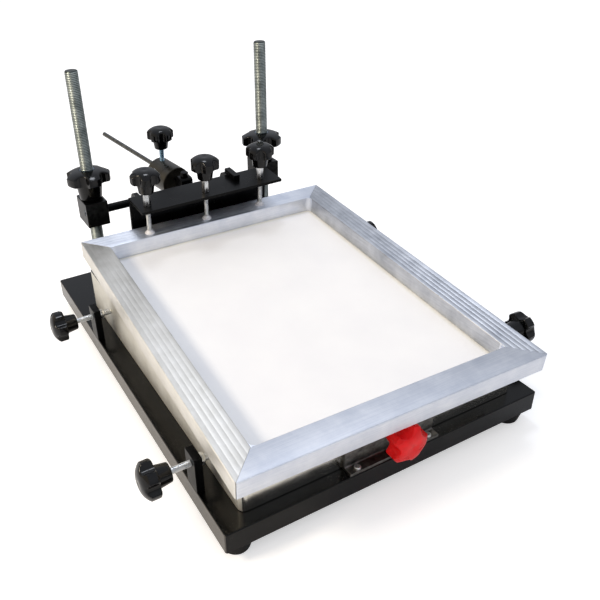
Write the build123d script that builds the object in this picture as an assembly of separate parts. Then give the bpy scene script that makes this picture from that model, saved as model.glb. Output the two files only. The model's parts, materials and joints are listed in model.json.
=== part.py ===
from build123d import *
import os
from math import acos, atan2, degrees, hypot

os.makedirs("parts", exist_ok=True)

# A tabletop screen printing press in millimetres: a folded steel base tray on rubber feet, a printing
# platform that side screws shift and a front knob locks, and two threaded columns that carry the hinge of a
# screen clamp.
# +X is the operator's right, +Y points to the rear and +Z up.
# The origin is the centre of the platform's top face.

# ---- running fits and clearances ----
running_clearance = 0.08       # radial, a shaft or screw in its own bore
slide_gap = 0.3                # flat faces that pass each other
seat_gap = 0.1                 # mesh above the clamp's lower flange
screw_hole_clearance = 0.3     # radial, fixing screw in a drilled sheet

# ---- base tray, feet and resting plane ----
base_side_margin = 28.5        # base edge beyond the platform's side wall
base_front_margin = 17.5       # base edge in front of the platform's front wall
base_rear_margin = 107.5       # base edge behind the platform's rear wall
base_height = 28.0
base_sheet = 2.5
base_lip = 42.0                # inward flange under the tray, which the feet are screwed to
base_corner_radius = 3.0
base_fold_radius = 1.5
foot_height = 20.0
foot_top_diameter = 44.0
foot_bottom_diameter = 38.0
foot_edge_gap = 1.0            # foot's top edge inside the base's two nearest edges
foot_edge_radius = 1.5
foot_recess_diameter = 15.0
foot_recess_depth = 10.0
foot_screw_diameter = 6.0
foot_screw_head_diameter = 12.0
foot_screw_head_height = 4.0
foot_screw_head_radius = 1.5
foot_screw_reach = 6.0         # above the lip, which is tapped for it

# ---- platform ----
platform_width = 400.0
platform_length = 500.0
platform_height = 65.0         # platform top above the base top
platform_sheet = 2.0
platform_wall_gap = 1.0        # wall bottom above the base top
platform_corner_radius = 9.0
core_thickness = 18.0
core_clearance = 2.0
glide_side = 34.0
glide_height = 22.0
platform_travel = 8.0          # each way along X

# ---- side adjusters ----
adjuster_from_platform_front = 63.0   # front pair's axis behind the platform's front wall
adjuster_from_platform_rear = 91.0    # rear pair's axis ahead of the platform's rear wall
adjuster_height = 36.5         # screw axis above the base top
bracket_thickness = 10.0
bracket_length = 25.0
bracket_height = 50.0
bracket_edge_radius = 1.0
screw_diameter = 8.0           # M8 in every star knob
screw_nut_flats = 13.0
screw_nut_height = 6.5
adjuster_reach = 24.5          # knob hub from the bracket's outer face
screw_end_chamfer = 1.0

# ---- star knobs ----
lobe_count = 5
knob_diameter = 45.0
knob_head_height = 19.0
knob_hub_height = 17.0
knob_hub_foot_diameter = 23.0
knob_hub_neck_diameter = 27.0
knob_flute_radius = 8.0
knob_flute_depth = 5.5
knob_rim_height = 12.0
knob_insert_depth = 15.0       # screw held inside the knob
lobe_edge_radius = 2.5
rim_under_chamfer = 2.0
dome_shoulder = 0.72           # where the dome's arc passes, as a share of radius and rise

# ---- front lock, whose knob is larger than the others ----
lock_knob_diameter = 50.0
lock_knob_head_height = 20.0
lock_knob_hub_height = 18.0
lock_knob_hub_foot_diameter = 25.0
lock_knob_hub_neck_diameter = 30.0
lock_knob_flute_radius = 9.0
lock_knob_flute_depth = 6.0
lock_knob_rim_height = 12.0
lock_x = -2.0
lock_height = 35.3             # lock screw axis above the base top
lock_bracket_width = 130.0
lock_bracket_height = 55.0
lock_bracket_sheet = 4.0
lock_bracket_foot = 12.0
lock_bracket_bend_radius = 2.0
lock_screw_past_nut = 4.0
bracket_screw_diameter = 5.0
bracket_screw_head_diameter = 8.5
bracket_screw_head_height = 3.0
bracket_screw_head_radius = 1.2
bracket_screw_spacing = 104.0
bracket_screw_inset = 5.0      # from the foot's front edge
bracket_screw_reach = 6.0      # below the base's top sheet, which is tapped for it

# ---- columns ----
column_inset = 41.0            # column axis inside the platform's side wall
column_from_platform_rear = 75.0
column_diameter = 20.0         # M20
column_above_platform = 286.5
column_end_chamfer = 1.5
column_nut_flats = 30.0
column_nut_height = 16.0
column_washer_diameter = 37.0
column_washer_height = 3.0
column_past_nut = 2.5

# ---- hinge blocks that ride on the columns ----
block_width = 36.0
block_depth = 50.0
block_height = 40.0
block_bottom_height = 44.0     # above the platform top
block_ahead_of_column = 26.0   # block front face to column axis
block_edge_radius = 1.0
sleeve_diameter = 24.0
sleeve_flange_diameter = 30.0
sleeve_flange_height = 3.0
sleeve_proud = 0.6             # above the star grip
set_screw_diameter = 10.0      # M10, on the shaft's line in each block's outer face
set_screw_length = 14.0
set_screw_socket = 5.0
set_screw_socket_depth = 4.0
set_screw_chamfer = 0.5

# ---- star nuts on the columns ----
nut_diameter = 70.0
nut_head_height = 20.0
nut_hub_height = 28.0
nut_hub_foot_diameter = 35.5
nut_hub_neck_diameter = 42.0
nut_flute_radius = 12.0
nut_flute_depth = 9.5
nut_rim_height = 13.0

# ---- hinge shaft and arms ----
shaft_diameter = 13.0
shaft_ahead_of_column = 17.0
shaft_height = 67.5            # above the platform top
shaft_insertion = 9.0          # into each block
shaft_end_chamfer = 0.8
screen_front_gap = 0.86        # underside of the closed screen above the platform's front edge
hinge_arm_places = (-90.0, 75.0)
hinge_arm_thickness = 8.0
hinge_arm_radius = 14.0

# ---- screen frame, in the tilted plane of the clamp ----
frame_overhang = 10.0          # half of what the frame is wider and longer than the platform
frame_corner_radius = 5.0      # welded outer corners, ground round
rail_width = 36.0
rail_height = 24.5
rail_wall = 2.0
rail_corner_radius = 1.2
groove_count = 4
groove_pitch = 7.0
groove_width = 1.4
groove_depth = 0.7
frame_behind_gap = 78.5        # frame's rear face in front of the shaft axis
frame_top_drop = 5.4           # frame's top below the shaft axis
frame_yaw = -1.2               # how far askew the screen is clamped, degrees
mesh_thickness = 0.4
mesh_inset = 2.0

# ---- clamp channel ----
channel_length = 240.0
channel_centre_x = -3.0
channel_sheet = 4.5
channel_rear = 60.0            # web's rear face in front of the shaft axis
channel_depth = 58.0
channel_lower_depth = 40.0
channel_top_rise = 41.5        # flange top above the shaft axis
channel_bend_radius = 2.0

# ---- clamp screws ----
clamp_screw_pitch = 97.0
clamp_row_centre_x = -10.0
clamp_screw_ahead = 99.5      # in front of the shaft axis
long_nut_flats = 13.0
long_nut_height = 21.0
clamp_knob_gap = 1.0           # knob hub above the long nut
clamp_foot_diameter = 15.0
clamp_foot_top_diameter = 9.5
clamp_foot_height = 5.5
clamp_tip_diameter = 5.0
clamp_tip_length = 3.0

# ---- stop bar on the clamp ----
stop_bar_x = 51.0
stop_bar_width = 10.0
stop_bar_height = 9.0
stop_bar_edge_radius = 0.8
stop_bar_front = 89.0          # in front of the shaft axis
stop_bar_rear = 55.5

# ---- counterweight ----
holder_x = -2.0
holder_width = 20.0
holder_radius = 15.0
holder_top_half_depth = 11.0
holder_top = 24.0              # above the shaft axis
holder_top_radius = 5.0
holder_bolt_diameter = 6.0
holder_bolt_flats = 12.0
holder_bolt_head_height = 8.0
rod_diameter = 8.0
rod_height = 11.5              # above the shaft axis
rod_yaw = 9.5                  # towards -X, degrees
rod_front = 20.0               # rod end in front of the shaft axis
rod_rear = 280.0               # rod end behind it
rod_end_chamfer = 0.8
weight_diameter = 52.0
weight_length = 56.0
weight_front = 26.0            # weight's front face behind the shaft axis, along the rod
weight_drop = 7.5              # weight axis below the rod axis
weight_screw_place = 42.0      # lock screw behind the weight's front face
weight_knob_gap = 23.0         # knob hub above the weight
weight_edge_chamfer = 1.0

# ---- sizes and places that follow from the ones above ----
base_width = platform_width + 2 * base_side_margin
base_length = platform_length + base_front_margin + base_rear_margin
frame_width = platform_width + 2 * frame_overhang
frame_length = platform_length + 2 * frame_overhang
foot_inset = foot_top_diameter / 2 + foot_edge_gap
base_top = -platform_height
base_bottom = base_top - base_height
bench = base_bottom - foot_height
platform_front = -platform_length / 2
base_front = platform_front - base_front_margin
base_middle_y = base_front + base_length / 2
column_y = platform_length / 2 + column_from_platform_rear
column_x = platform_width / 2 - column_inset
column_places = (-column_x, column_x)
platform_inner_radius = platform_corner_radius - platform_sheet
adjuster_z = base_top + adjuster_height
bracket_outer_x = base_width / 2
bracket_inner_x = bracket_outer_x - bracket_thickness
lock_z = base_top + lock_height
shaft_y = column_y - shaft_ahead_of_column
shaft_from_platform_front = shaft_y - platform_front
shaft_above_front_edge = shaft_height - screen_front_gap
frame_bottom_drop = frame_top_drop + rail_height + mesh_thickness
screen_tilt = degrees(
    acos(frame_bottom_drop / hypot(shaft_from_platform_front, shaft_above_front_edge))
    - atan2(shaft_from_platform_front, shaft_above_front_edge)
)
clamp_plane = Pos(0, shaft_y, shaft_height) * Rot(screen_tilt, 0, 0)
rod_line = clamp_plane * Pos(holder_x, 0, rod_height) * Rot(0, 0, rod_yaw)


def round_bar(diameter, length, chamfer_size):
    """A bar from z = 0 up, chamfered at both ends."""
    bar = Pos(0, 0, length / 2) * Cylinder(diameter / 2, length)
    ends = bar.edges().filter_by(GeomType.CIRCLE)
    return chamfer(ends, chamfer_size)


def hex_prism(flats, height):
    """A hexagon from z = 0 up."""
    return extrude(RegularPolygon(flats / 2, 6, major_radius=False), height)


def bore(diameter, length):
    """A cutter from z = 0 up."""
    return Pos(0, 0, length / 2) * Cylinder(diameter / 2, length)


def star_grip(diameter, head, hub, hub_foot, hub_neck, flute_radius, flute_depth, rim):
    """A five-lobed grip with its hub's foot at z = 0 and its domed head on top."""
    radius = diameter / 2
    flute_centre = radius + flute_radius - flute_depth
    outline = Circle(radius) - PolarLocations(flute_centre, lobe_count) * Circle(flute_radius)
    outline = fillet(outline.vertices(), lobe_edge_radius)
    lobes = extrude(outline, head)
    shoulder = (radius * dome_shoulder, rim + (head - rim) * dome_shoulder)
    profile = Polyline((0, 0), (radius - rim_under_chamfer, 0), (radius, rim_under_chamfer), (radius, rim))
    profile += ThreePointArc((radius, rim), shoulder, (0, head))
    profile += Line((0, head), (0, 0))
    dome = revolve(make_face(Plane.XZ * profile), Axis.Z)
    hub_shape = Pos(0, 0, hub / 2) * Cone(hub_foot / 2, hub_neck / 2, hub)
    return hub_shape + Pos(0, 0, hub) * (lobes & dome)


def with_insert(grip):
    """The grip with the blind bore that holds its screw."""
    return grip - bore(screw_diameter + 2 * running_clearance, knob_insert_depth + running_clearance)


def star_knob():
    """The knob of every clamp, adjuster and counterweight screw."""
    grip = star_grip(
        knob_diameter,
        knob_head_height,
        knob_hub_height,
        knob_hub_foot_diameter,
        knob_hub_neck_diameter,
        knob_flute_radius,
        knob_flute_depth,
        knob_rim_height,
    )
    return with_insert(grip)


# ---- base tray ----
def base_tray():
    tray = Pos(0, base_middle_y, base_bottom + base_height / 2) * Box(base_width, base_length, base_height)
    tray = fillet(tray.edges().filter_by(Axis.Z), base_corner_radius)
    tray = fillet(tray.faces().sort_by(Axis.Z)[-1].edges(), base_fold_radius)
    inside_height = base_height - 2 * base_sheet
    tray -= Pos(0, base_middle_y, base_bottom + base_height / 2) * Box(
        base_width - 2 * base_sheet, base_length - 2 * base_sheet, inside_height
    )
    tray -= Pos(0, base_middle_y, base_bottom + base_sheet / 2) * Box(
        base_width - 2 * base_lip, base_length - 2 * base_lip, base_sheet
    )
    for x in column_places:
        tray -= Pos(x, column_y, base_top - base_sheet) * bore(
            column_diameter + 2 * screw_hole_clearance, base_sheet
        )
    for x, y in lock_bracket_screw_places():
        tray -= Pos(x, y, base_top - base_sheet) * bore(
            bracket_screw_diameter + 2 * running_clearance, base_sheet
        )
    for x, y in foot_places():
        tray -= Pos(x, y, base_bottom) * bore(foot_screw_diameter + 2 * running_clearance, base_sheet)
    return tray


def foot_places():
    x = base_width / 2 - foot_inset
    y = base_length / 2 - foot_inset
    return [(sx * x, base_middle_y + sy * y) for sx in (-1, 1) for sy in (-1, 1)]


def rubber_foot():
    foot = Pos(0, 0, foot_height / 2) * Cone(foot_bottom_diameter / 2, foot_top_diameter / 2, foot_height)
    foot = fillet(foot.edges().filter_by(GeomType.CIRCLE).sort_by(Axis.Z)[0], foot_edge_radius)
    foot -= bore(foot_recess_diameter, foot_recess_depth)
    return foot - bore(foot_screw_diameter + 2 * screw_hole_clearance, foot_height)


def foot_screw():
    head = Pos(0, 0, foot_recess_depth - foot_screw_head_height) * bore(
        foot_screw_head_diameter, foot_screw_head_height
    )
    head = fillet(head.edges().filter_by(GeomType.CIRCLE).sort_by(Axis.Z)[0], foot_screw_head_radius)
    shank_length = foot_height - foot_recess_depth + base_sheet + foot_screw_reach
    return head + Pos(0, 0, foot_recess_depth) * bore(foot_screw_diameter, shank_length)


# ---- side adjusters ----
def adjuster_rows():
    half = platform_length / 2
    return {"front": adjuster_from_platform_front - half, "rear": half - adjuster_from_platform_rear}


def adjuster_axis(side, y, x):
    """A place on an adjuster's axis, with local +Z pointing away from the platform."""
    return Pos(side * x, y, adjuster_z) * Rot(0, side * 90, 0)


def side_bracket(side, y):
    centre_x = side * (bracket_inner_x + bracket_thickness / 2)
    bar = Pos(centre_x, y, base_top + bracket_height / 2) * Box(
        bracket_thickness, bracket_length, bracket_height
    )
    bar = fillet(bar.edges().filter_by(Axis.X).group_by(Axis.Z)[-1], bracket_edge_radius)
    return bar - adjuster_axis(side, y, bracket_inner_x) * bore(
        screw_diameter + 2 * screw_hole_clearance, bracket_thickness
    )


def adjuster_nut(side, y):
    nut = hex_prism(screw_nut_flats, screw_nut_height)
    nut -= bore(screw_diameter + 2 * running_clearance, screw_nut_height)
    return adjuster_axis(side, y, bracket_inner_x - screw_nut_height) * nut


def adjuster_screw(side, y):
    start = platform_width / 2 + slide_gap
    length = bracket_outer_x + adjuster_reach + knob_insert_depth - start
    return adjuster_axis(side, y, start) * round_bar(screw_diameter, length, screw_end_chamfer)


def adjuster_knob(side, y):
    return adjuster_axis(side, y, bracket_outer_x + adjuster_reach) * star_knob()


# ---- platform ----
def platform_shell():
    height = platform_height - platform_wall_gap
    shell = Pos(0, 0, -height / 2) * Box(platform_width, platform_length, height)
    shell = fillet(shell.edges().filter_by(Axis.Z), platform_corner_radius)
    inner = Box(platform_width - 2 * platform_sheet, platform_length - 2 * platform_sheet, height)
    inner = fillet(inner.edges().filter_by(Axis.Z), platform_inner_radius)
    shell -= Pos(0, 0, -height / 2 - platform_sheet) * inner
    lock_hole = lock_axis(platform_front + platform_sheet) * bore(
        screw_diameter + 2 * screw_hole_clearance, platform_sheet
    )
    return shell - lock_hole


def platform_core():
    width = platform_width - 2 * platform_sheet - core_clearance
    length = platform_length - 2 * platform_sheet - core_clearance
    core = Pos(0, 0, -platform_sheet - core_thickness / 2) * Box(width, length, core_thickness)
    return fillet(core.edges().filter_by(Axis.Z), platform_inner_radius - core_clearance / 2)


def corner_glides():
    width = platform_width - 2 * platform_sheet
    length = platform_length - 2 * platform_sheet
    # the walls' straight parts hold the glides, whose own corners clear the bends
    outline = RectangleRounded(width, length, platform_corner_radius)
    squares = [
        Pos(sx * (width - glide_side) / 2, sy * (length - glide_side) / 2) * Rectangle(glide_side, glide_side)
        for sx in (-1, 1)
        for sy in (-1, 1)
    ]
    return [Pos(0, 0, base_top) * extrude(outline & square, glide_height) for square in squares]


# ---- front lock ----
def lock_axis(y):
    """A place on the lock screw's axis, with local +Z pointing to the operator."""
    return Pos(lock_x, y, lock_z) * Rot(90, 0, 0)


def lock_bracket_screw_places():
    y = lock_bracket_front() - lock_bracket_foot + bracket_screw_inset
    return [(lock_x + side * bracket_screw_spacing / 2, y) for side in (-1, 1)]


def lock_bracket_front():
    return platform_front - slide_gap - lock_bracket_sheet


def lock_bracket():
    profile = Polyline(
        (0, 0),
        (-lock_bracket_sheet - lock_bracket_foot, 0),
        (-lock_bracket_sheet - lock_bracket_foot, lock_bracket_sheet),
        (-lock_bracket_sheet, lock_bracket_sheet),
        (-lock_bracket_sheet, lock_bracket_height),
        (0, lock_bracket_height),
        close=True,
    )
    bracket = extrude(make_face(Plane.YZ * profile), lock_bracket_width / 2, both=True)
    bend_line = (0, -lock_bracket_sheet, lock_bracket_sheet)
    inner_bend = bracket.edges().filter_by(Axis.X).sort_by_distance(bend_line)[0]
    bracket = fillet(inner_bend, lock_bracket_bend_radius)
    bracket = Pos(lock_x, platform_front - slide_gap, base_top) * bracket
    slot_width = screw_diameter + 2 * screw_hole_clearance
    slot = extrude(SlotCenterToCenter(2 * platform_travel, slot_width), lock_bracket_sheet)
    bracket -= lock_axis(platform_front - slide_gap) * slot
    for x, y in lock_bracket_screw_places():
        bracket -= Pos(x, y, base_top) * bore(
            bracket_screw_diameter + 2 * screw_hole_clearance, lock_bracket_sheet
        )
    return bracket


def lock_bracket_screw():
    head = Pos(0, 0, lock_bracket_sheet) * bore(bracket_screw_head_diameter, bracket_screw_head_height)
    head = fillet(head.edges().filter_by(GeomType.CIRCLE).sort_by(Axis.Z)[-1], bracket_screw_head_radius)
    shank_length = lock_bracket_sheet + base_sheet + bracket_screw_reach
    return head + Pos(0, 0, lock_bracket_sheet - shank_length) * bore(bracket_screw_diameter, shank_length)


def lock_nut():
    nut = hex_prism(screw_nut_flats, screw_nut_height)
    nut -= bore(screw_diameter + 2 * running_clearance, screw_nut_height)
    return lock_axis(platform_front + platform_sheet + screw_nut_height) * nut


def lock_screw():
    rear = platform_front + platform_sheet + screw_nut_height + lock_screw_past_nut
    length = rear - (lock_bracket_front() - slide_gap) + knob_insert_depth
    return lock_axis(rear) * round_bar(screw_diameter, length, screw_end_chamfer)


def lock_knob():
    grip = star_grip(
        lock_knob_diameter,
        lock_knob_head_height,
        lock_knob_hub_height,
        lock_knob_hub_foot_diameter,
        lock_knob_hub_neck_diameter,
        lock_knob_flute_radius,
        lock_knob_flute_depth,
        lock_knob_rim_height,
    )
    return lock_axis(lock_bracket_front() - slide_gap) * with_insert(grip)


# ---- columns and their fixings ----
def column(x):
    bottom = base_top - base_sheet - column_washer_height - column_nut_height - column_past_nut
    length = column_above_platform - bottom
    return Pos(x, column_y, bottom) * round_bar(column_diameter, length, column_end_chamfer)


def column_fixings(x):
    """Washer and nut above the tray's top sheet, and the same pair below it."""
    nut = hex_prism(column_nut_flats, column_nut_height)
    nut -= bore(column_diameter + 2 * running_clearance, column_nut_height)
    washer = bore(column_washer_diameter, column_washer_height)
    washer -= bore(column_diameter + 2 * screw_hole_clearance, column_washer_height)
    under = base_top - base_sheet - column_washer_height
    washers = [Pos(x, column_y, base_top) * washer, Pos(x, column_y, under) * washer]
    nuts = [
        Pos(x, column_y, base_top + column_washer_height) * nut,
        Pos(x, column_y, under - column_nut_height) * nut,
    ]
    return washers, nuts


# ---- hinge blocks and the star nuts that raise them ----
def hinge_block(x):
    side = 1 if x > 0 else -1
    centre_y = column_y - block_ahead_of_column + block_depth / 2
    block = Pos(x, centre_y, block_bottom_height + block_height / 2) * Box(
        block_width, block_depth, block_height
    )
    block = fillet(block.edges(), block_edge_radius)
    block -= Pos(x, column_y, block_bottom_height) * bore(
        sleeve_diameter + 2 * running_clearance, block_height
    )
    recess_depth = sleeve_flange_height + 2 * slide_gap
    block -= Pos(x, column_y, block_bottom_height) * bore(
        sleeve_flange_diameter + 2 * slide_gap, recess_depth
    )
    inner_face = x - side * block_width / 2
    block -= Pos(inner_face, shaft_y, shaft_height) * Rot(0, side * 90, 0) * bore(
        shaft_diameter + 2 * running_clearance, shaft_insertion + slide_gap
    )
    outer_face = x + side * block_width / 2
    block -= Pos(outer_face, shaft_y, shaft_height) * Rot(0, -side * 90, 0) * bore(
        set_screw_diameter, set_screw_length + slide_gap
    )
    return block


def set_screw(x):
    """Socket set screw in the block's outer face, on the shaft's line and clear of the nut's sleeve."""
    side = 1 if x > 0 else -1
    screw = round_bar(set_screw_diameter, set_screw_length, set_screw_chamfer)
    screw -= hex_prism(set_screw_socket, set_screw_socket_depth)
    outer_end = x + side * (block_width / 2 - slide_gap)
    return Pos(outer_end, shaft_y, shaft_height) * Rot(0, -side * 90, 0) * screw


def nut_grip(x):
    grip = star_grip(
        nut_diameter,
        nut_head_height,
        nut_hub_height,
        nut_hub_foot_diameter,
        nut_hub_neck_diameter,
        nut_flute_radius,
        nut_flute_depth,
        nut_rim_height,
    )
    grip -= bore(sleeve_diameter, nut_hub_height + nut_head_height)
    return Pos(x, column_y, block_bottom_height + block_height + slide_gap) * grip


def nut_sleeve(x):
    """Steel sleeve, threaded on the column, that turns in the block and is flanged under it."""
    bottom = block_bottom_height + slide_gap
    top = block_bottom_height + block_height + slide_gap + nut_hub_height + nut_head_height + sleeve_proud
    sleeve = bore(sleeve_diameter, top - bottom) + bore(sleeve_flange_diameter, sleeve_flange_height)
    sleeve -= bore(column_diameter + 2 * running_clearance, top - bottom)
    return Pos(x, column_y, bottom) * sleeve


# ---- hinge shaft, arms and clamp channel ----
def hinge_shaft():
    length = 2 * column_x - block_width + 2 * shaft_insertion
    shaft = round_bar(shaft_diameter, length, shaft_end_chamfer)
    return Pos(-length / 2, shaft_y, shaft_height) * Rot(0, 90, 0) * shaft


def hinge_arm(x):
    plate = Pos(-channel_rear / 2, 0) * Rectangle(channel_rear, 2 * hinge_arm_radius)
    plate += Circle(hinge_arm_radius)
    plate -= Circle(shaft_diameter / 2)
    solid = extrude(Plane.YZ * plate, hinge_arm_thickness / 2, both=True)
    return clamp_plane * Pos(x, 0, 0) * solid


def clamp_places():
    return [clamp_row_centre_x + step * clamp_screw_pitch for step in (-1, 0, 1)]


def clamp_channel():
    top = channel_top_rise
    lower = -frame_bottom_drop - seat_gap
    rear = -channel_rear
    profile = Polyline(
        (rear, top),
        (rear - channel_depth, top),
        (rear - channel_depth, top - channel_sheet),
        (rear - channel_sheet, top - channel_sheet),
        (rear - channel_sheet, lower),
        (rear - channel_lower_depth, lower),
        (rear - channel_lower_depth, lower - channel_sheet),
        (rear, lower - channel_sheet),
        close=True,
    )
    face = fillet(make_face(profile).vertices().group_by(Axis.X)[-1], channel_bend_radius)
    channel = extrude(Plane.YZ * face, channel_length / 2, both=True)
    channel = Pos(channel_centre_x, 0, 0) * channel
    for x in clamp_places():
        channel -= Pos(x, -clamp_screw_ahead, top - channel_sheet) * bore(
            screw_diameter + 2 * screw_hole_clearance, channel_sheet
        )
    return clamp_plane * channel


def clamp_nut(x):
    nut = hex_prism(long_nut_flats, long_nut_height)
    nut -= bore(screw_diameter + 2 * running_clearance, long_nut_height)
    return clamp_plane * Pos(x, -clamp_screw_ahead, channel_top_rise) * nut


def clamp_foot(x):
    foot = Pos(0, 0, clamp_foot_height / 2) * Cone(
        clamp_foot_diameter / 2, clamp_foot_top_diameter / 2, clamp_foot_height
    )
    socket_bottom = clamp_foot_height - clamp_tip_length
    foot -= Pos(0, 0, socket_bottom) * bore(clamp_tip_diameter + 2 * running_clearance, clamp_tip_length)
    return clamp_plane * Pos(x, -clamp_screw_ahead, -frame_top_drop) * foot


def clamp_screw(x):
    foot_top = -frame_top_drop + clamp_foot_height
    hub_foot = channel_top_rise + long_nut_height + clamp_knob_gap
    length = hub_foot + knob_insert_depth - foot_top - slide_gap
    screw = Pos(0, 0, slide_gap) * round_bar(screw_diameter, length, screw_end_chamfer)
    tip_length = clamp_tip_length
    screw += Pos(0, 0, slide_gap - tip_length) * bore(clamp_tip_diameter, tip_length)
    return clamp_plane * Pos(x, -clamp_screw_ahead, foot_top) * screw


def clamp_knob(x):
    hub_foot = channel_top_rise + long_nut_height + clamp_knob_gap
    return clamp_plane * Pos(x, -clamp_screw_ahead, hub_foot) * star_knob()


def stop_bar():
    length = stop_bar_front - stop_bar_rear
    bar = Pos(stop_bar_x, -stop_bar_front + length / 2, channel_top_rise + stop_bar_height / 2) * Box(
        stop_bar_width, length, stop_bar_height
    )
    return clamp_plane * fillet(bar.edges().filter_by(Axis.Y), stop_bar_edge_radius)


# ---- screen frame and mesh ----
def frame_corner():
    """The middle of the frame's rear top edge, turned as the screen is clamped."""
    return clamp_plane * Pos(0, -frame_behind_gap, -frame_top_drop) * Rot(0, 0, frame_yaw)


def rail(length):
    """A mitred, hollow, grooved rail along X: outer face at y = 0, inner at -rail_width, top at z = 0."""
    outside = RectangleRounded(rail_width, rail_height, rail_corner_radius)
    hollow = Rectangle(rail_width - 2 * rail_wall, rail_height - 2 * rail_wall)
    section = Pos(-rail_width / 2, -rail_height / 2) * (outside - hollow)
    for number in range(groove_count):
        offset = (number - (groove_count - 1) / 2) * groove_pitch
        section -= Pos(-rail_width / 2 + offset, -groove_depth / 2) * Rectangle(groove_width, groove_depth)
    bar = extrude(Plane.YZ * section, length / 2, both=True)
    for side in (-1, 1):
        corner = Polyline(
            (side * length / 2, 0),
            (side * (length / 2 - rail_width), -rail_width),
            (side * length / 2, -rail_width),
            close=True,
        )
        bar -= Pos(0, 0, -rail_height) * extrude(make_face(corner), rail_height)
    return bar


def frame_rails():
    outline = RectangleRounded(frame_width, frame_length, frame_corner_radius)
    outline = extrude(outline, -rail_height)
    across = Pos(0, frame_length / 2, 0) * rail(frame_width)
    along = Pos(0, frame_width / 2, 0) * rail(frame_length)
    rails = {
        "frame_rear_rail": across,
        "frame_front_rail": Rot(0, 0, 180) * across,
        "frame_left_rail": Rot(0, 0, 90) * along,
        "frame_right_rail": Rot(0, 0, -90) * along,
    }
    middle = frame_corner() * Pos(0, -frame_length / 2, 0)
    return {name: middle * (bar & outline) for name, bar in rails.items()}


def screen_mesh():
    sheet = Box(frame_width - 2 * mesh_inset, frame_length - 2 * mesh_inset, mesh_thickness)
    return frame_corner() * Pos(0, -frame_length / 2, -rail_height - mesh_thickness / 2) * sheet


# ---- counterweight ----
def rod_holder():
    side_view = Pos(0, holder_top / 2) * Rectangle(2 * holder_top_half_depth, holder_top)
    side_view += Circle(holder_radius)
    corners = side_view.vertices().group_by(Axis.Y)[-1]
    side_view = fillet(corners, holder_top_radius)
    side_view -= Circle(shaft_diameter / 2)
    holder = clamp_plane * Pos(holder_x, 0, 0) * extrude(Plane.YZ * side_view, holder_width / 2, both=True)
    rod_hole = Cylinder(rod_diameter / 2, 4 * holder_radius)
    holder -= rod_line * Rot(90, 0, 0) * rod_hole
    bolt_hole = bore(holder_bolt_diameter + 2 * running_clearance, holder_top)
    return holder - clamp_plane * Pos(holder_x, 0, rod_height) * bolt_hole


def holder_bolt():
    """Bolt that presses on the rod from above, its head just clear of the holder."""
    tip = rod_height + rod_diameter / 2
    head_bottom = holder_top + slide_gap
    bolt = Pos(0, 0, tip) * bore(holder_bolt_diameter, head_bottom - tip)
    bolt += Pos(0, 0, head_bottom) * hex_prism(holder_bolt_flats, holder_bolt_head_height)
    return clamp_plane * Pos(holder_x, 0, 0) * bolt


def weight_rod():
    length = rod_front + rod_rear
    rod = round_bar(rod_diameter, length, rod_end_chamfer)
    return rod_line * Pos(0, -rod_front, 0) * Rot(-90, 0, 0) * rod


def weight_screw_axis(height):
    """A place on the weight's lock screw, height above the rod's axis."""
    return rod_line * Pos(0, weight_front + weight_screw_place, height)


def counterweight():
    body = rod_line * Pos(0, weight_front, -weight_drop) * Rot(-90, 0, 0) * round_bar(
        weight_diameter, weight_length, weight_edge_chamfer
    )
    body -= rod_line * Pos(0, weight_front, 0) * Rot(-90, 0, 0) * bore(
        rod_diameter + 2 * running_clearance, weight_length
    )
    return body - weight_screw_axis(0) * bore(screw_diameter + 2 * running_clearance, weight_diameter)


def weight_knob_height():
    return weight_diameter / 2 - weight_drop + weight_knob_gap


def weight_screw():
    tip = rod_diameter / 2 + slide_gap
    length = weight_knob_height() + knob_insert_depth - tip
    return weight_screw_axis(tip) * round_bar(screw_diameter, length, screw_end_chamfer)


def weight_knob():
    return weight_screw_axis(weight_knob_height()) * star_knob()


# ---- every node of the press ----
nodes = {
    "base_tray": base_tray(),
    "rubber_feet": [Pos(x, y, bench) * rubber_foot() for x, y in foot_places()],
    "foot_screws": [Pos(x, y, bench) * foot_screw() for x, y in foot_places()],
    "platform_shell": platform_shell(),
    "platform_core": platform_core(),
    "corner_glides": corner_glides(),
    "lock_bracket": lock_bracket(),
    "lock_bracket_screws": [
        Pos(x, y, base_top) * lock_bracket_screw() for x, y in lock_bracket_screw_places()
    ],
    "lock_nut": lock_nut(),
    "lock_screw": lock_screw(),
    "lock_knob": lock_knob(),
}

adjuster_nuts = []
for side_name, side in (("left", -1), ("right", 1)):
    for row_name, y in adjuster_rows().items():
        name = f"{side_name}_{row_name}"
        nodes[f"{name}_bracket"] = side_bracket(side, y)
        nodes[f"{name}_screw"] = adjuster_screw(side, y)
        nodes[f"{name}_knob"] = adjuster_knob(side, y)
        adjuster_nuts.append(adjuster_nut(side, y))
nodes["adjuster_nuts"] = adjuster_nuts

column_washers = []
column_nuts = []
for side_name, x in zip(("left", "right"), column_places):
    nodes[f"{side_name}_column"] = column(x)
    nodes[f"{side_name}_hinge_block"] = hinge_block(x)
    nodes[f"{side_name}_nut_grip"] = nut_grip(x)
    nodes[f"{side_name}_nut_sleeve"] = nut_sleeve(x)
    washers, nuts = column_fixings(x)
    column_washers += washers
    column_nuts += nuts
nodes["column_washers"] = column_washers
nodes["column_nuts"] = column_nuts
nodes["block_set_screws"] = [set_screw(x) for x in column_places]

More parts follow.
